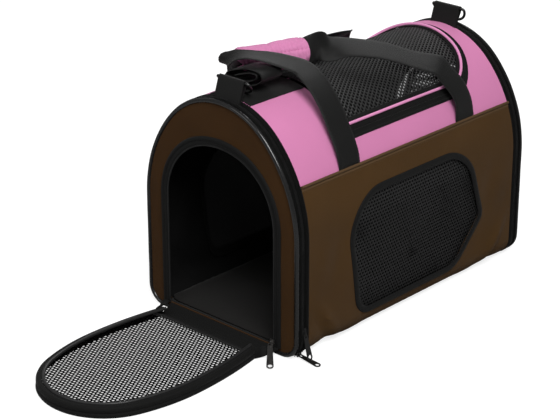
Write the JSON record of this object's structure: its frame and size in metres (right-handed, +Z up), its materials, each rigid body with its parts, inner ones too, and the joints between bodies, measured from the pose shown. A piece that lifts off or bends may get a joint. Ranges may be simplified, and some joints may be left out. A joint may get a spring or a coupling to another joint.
{
  "type": "pet carrier bag",
  "caption": "Soft-sided pet carrier bag with an arched body, fold-down mesh end doors, mesh side windows, a zipped mesh roof hatch and padded webbing handles.",
  "frame": {"origin": "centre of the footprint, on the surface that the bag stands on", "axes": "+Z up; +Y along the length from the front end, whose door lies open, to the rear; +X towards the near side"},
  "size_m": [0.3144, 0.7635, 0.3473],
  "materials": {
    "brown_fabric": "matte",
    "brown_fabric_dark": "matte",
    "pink_fabric": "matte",
    "black_fabric": "matte",
    "mat_fabric": "matte",
    "black_mesh": "matte",
    "black_tape": "matte",
    "black_twill": "matte",
    "black_webbing": "matte",
    "black_zip": "matte",
    "brown_piping": "matte",
    "pink_piping": "matte",
    "pink_padding": "matte",
    "black_piping": "matte",
    "black_piping_gloss": "satin",
    "board_black": "matte",
    "spring_wire": "satin",
    "ring_metal": "satin",
    "black_metal": "satin",
    "grey_metal": "satin"
  },
  "bodies": {
    "bag_body": {"bottom_panel": "brown_fabric", "base_board": "board_black", "floor_mat": "mat_fabric", "side_panel_near": "brown_fabric", "side_panel_far": "brown_fabric", "window_mesh_near": "black_mesh", "window_mesh_far": "black_mesh", "window_binding_near": "black_tape", "window_binding_far": "black_tape", "seam_piping": "brown_piping", "upper_shell": "pink_fabric", "top_front_panel": "black_twill", "hatch_opening_zip": "black_zip", "front_end_panel": "brown_fabric_dark", "front_end_piping": "black_piping_gloss", "front_hoop_wire": "spring_wire", "front_end_zip": "black_zip", "front_door_opening_zip": "black_zip", "front_door_hinge_strip": "black_tape", "front_ring_tab": "black_webbing", "front_lower_slider": "black_metal", "front_door_slider": "grey_metal", "rear_end_panel": "brown_fabric_dark", "rear_end_piping": "black_piping_gloss", "rear_hoop_wire": "spring_wire", "rear_end_zip": "black_zip", "rear_door_opening_zip": "black_zip", "rear_door_hinge_strip": "black_tape", "rear_ring_tab": "black_webbing", "rear_lower_slider": "black_metal", "rear_door_slider": "grey_metal"},
    "front_door": {"front_door_rim": "black_fabric", "front_door_piping": "black_piping", "front_door_mesh": "black_mesh", "front_door_hem": "black_tape"},
    "front_ring": {"front_d_ring": "ring_metal"},
    "front_upper_zip": {"front_upper_slider": "black_metal"},
    "front_upper_tag": {"front_upper_pull": "black_metal"},
    "front_lower_tag": {"front_lower_pull": "black_metal"},
    "front_door_tag": {"front_door_pull": "grey_metal"},
    "rear_door": {"rear_door_rim": "black_fabric", "rear_door_piping": "black_piping", "rear_door_mesh": "black_mesh", "rear_door_hem": "black_tape"},
    "rear_ring": {"rear_d_ring": "ring_metal"},
    "rear_upper_zip": {"rear_upper_slider": "black_metal"},
    "rear_upper_tag": {"rear_upper_pull": "black_metal"},
    "rear_lower_tag": {"rear_lower_pull": "black_metal"},
    "rear_door_tag": {"rear_door_pull": "grey_metal"},
    "hatch": {"hatch_mesh": "black_mesh", "hatch_zip_tape": "black_tape", "hatch_piping": "pink_piping"},
    "hatch_zip": {"hatch_slider": "black_metal"},
    "hatch_tag": {"hatch_pull": "black_metal"},
    "near_handle_base": {"near_handle_legs": "black_webbing"},
    "near_handle": {"near_handle_loop": "black_webbing", "handle_grip": "pink_padding"},
    "far_handle_base": {"far_handle_legs": "black_webbing"},
    "far_handle": {"far_handle_loop": "black_webbing"}
  },
  "joints": [
    {"name": "front_door_fold", "type": "hinge", "parent": "bag_body", "child": "front_door", "pos_m": [0, -0.2475, 0.002], "axis": [-1, 0, 0], "range_deg": [0, 90]},
    {"name": "rear_door_fold", "type": "hinge", "parent": "bag_body", "child": "rear_door", "pos_m": [0, 0.2475, 0.002], "axis": [-1, 0, 0], "range_deg": [0, 90]},
    {"name": "hatch_fold", "type": "hinge", "parent": "bag_body", "child": "hatch", "pos_m": [0, -0.107, 0.308], "axis": [1, 0, 0], "range_deg": [0, 100]},
    {"name": "near_handle_swing", "type": "hinge", "parent": "bag_body", "child": "near_handle_base", "pos_m": [0.1195, 0, 0.223], "axis": [0, 1, 0], "range_deg": [0, 180]},
    {"name": "far_handle_swing", "type": "hinge", "parent": "bag_body", "child": "far_handle_base", "pos_m": [-0.1195, 0, 0.223], "axis": [0, -1, 0], "range_deg": [0, 180]},
    {"name": "near_handle_lift", "type": "slide", "parent": "near_handle_base", "child": "near_handle", "axis": [0, 0, 1], "range_m": [0, 0.09], "deforming": ["near_handle_legs"]},
    {"name": "far_handle_lift", "type": "slide", "parent": "far_handle_base", "child": "far_handle", "axis": [0, 0, 1], "range_m": [0, 0.09], "deforming": ["far_handle_legs"]},
    {"name": "front_ring_swing", "type": "hinge", "parent": "bag_body", "child": "front_ring", "pos_m": [0.004, -0.203, 0.3285], "axis": [1, 0, 0], "range_deg": [0, 260]},
    {"name": "rear_ring_swing", "type": "hinge", "parent": "bag_body", "child": "rear_ring", "pos_m": [0.004, 0.214, 0.3285], "axis": [1, 0, 0], "range_deg": [0, 270]},
    {"name": "front_zip_travel", "type": "slide", "parent": "bag_body", "child": "front_upper_zip", "axis": [0, 0, 1], "range_m": [0, 0.11]},
    {"name": "front_upper_pull_swing", "type": "hinge", "parent": "front_upper_zip", "child": "front_upper_tag", "pos_m": [0.13245, -0.214, 0.037], "axis": [0, -1, 0], "range_deg": [0, 140]},
    {"name": "front_lower_pull_swing", "type": "hinge", "parent": "bag_body", "child": "front_lower_tag", "pos_m": [0.12304, -0.214, 0.00486], "axis": [0, -1, 0], "range_deg": [0, 50]},
    {"name": "front_door_pull_swing", "type": "hinge", "parent": "bag_body", "child": "front_door_tag", "pos_m": [0.09075, -0.2311, 0.014], "axis": [-0.7331, -0.6801, 0], "range_deg": [0, 45]},
    {"name": "rear_zip_travel", "type": "slide", "parent": "bag_body", "child": "rear_upper_zip", "axis": [0, 0, 1], "range_m": [0, 0.11]},
    {"name": "rear_upper_pull_swing", "type": "hinge", "parent": "rear_upper_zip", "child": "rear_upper_tag", "pos_m": [-0.13245, 0.214, 0.037], "axis": [0, 1, 0], "range_deg": [0, 140]},
    {"name": "rear_lower_pull_swing", "type": "hinge", "parent": "bag_body", "child": "rear_lower_tag", "pos_m": [-0.12304, 0.214, 0.00486], "axis": [0, 1, 0], "range_deg": [0, 50]},
    {"name": "rear_door_pull_swing", "type": "hinge", "parent": "bag_body", "child": "rear_door_tag", "pos_m": [-0.09075, 0.2311, 0.014], "axis": [0.7331, 0.6801, 0], "range_deg": [0, 45]},
    {"name": "hatch_zip_travel", "type": "slide", "parent": "bag_body", "child": "hatch_zip", "axis": [0, 1, 0], "range_m": [0, 0.15]},
    {"name": "hatch_pull_swing", "type": "hinge", "parent": "hatch_zip", "child": "hatch_tag", "pos_m": [-0.09976, -0.093, 0.25806], "axis": [-0.5946, 0, -0.804], "range_deg": [0, 120]}
  ],
  "couplings": [
    {"joint": "near_handle_swing", "follows": "hatch_fold", "ratio": 1.75},
    {"joint": "far_handle_swing", "follows": "hatch_fold", "ratio": 1.75},
    {"joint": "far_handle_lift", "follows": "near_handle_lift", "ratio": 1},
    {"joint": "front_upper_pull_swing", "follows": "front_lower_pull_swing", "ratio": 2.8},
    {"joint": "rear_upper_pull_swing", "follows": "rear_lower_pull_swing", "ratio": 2.8}
  ]
}
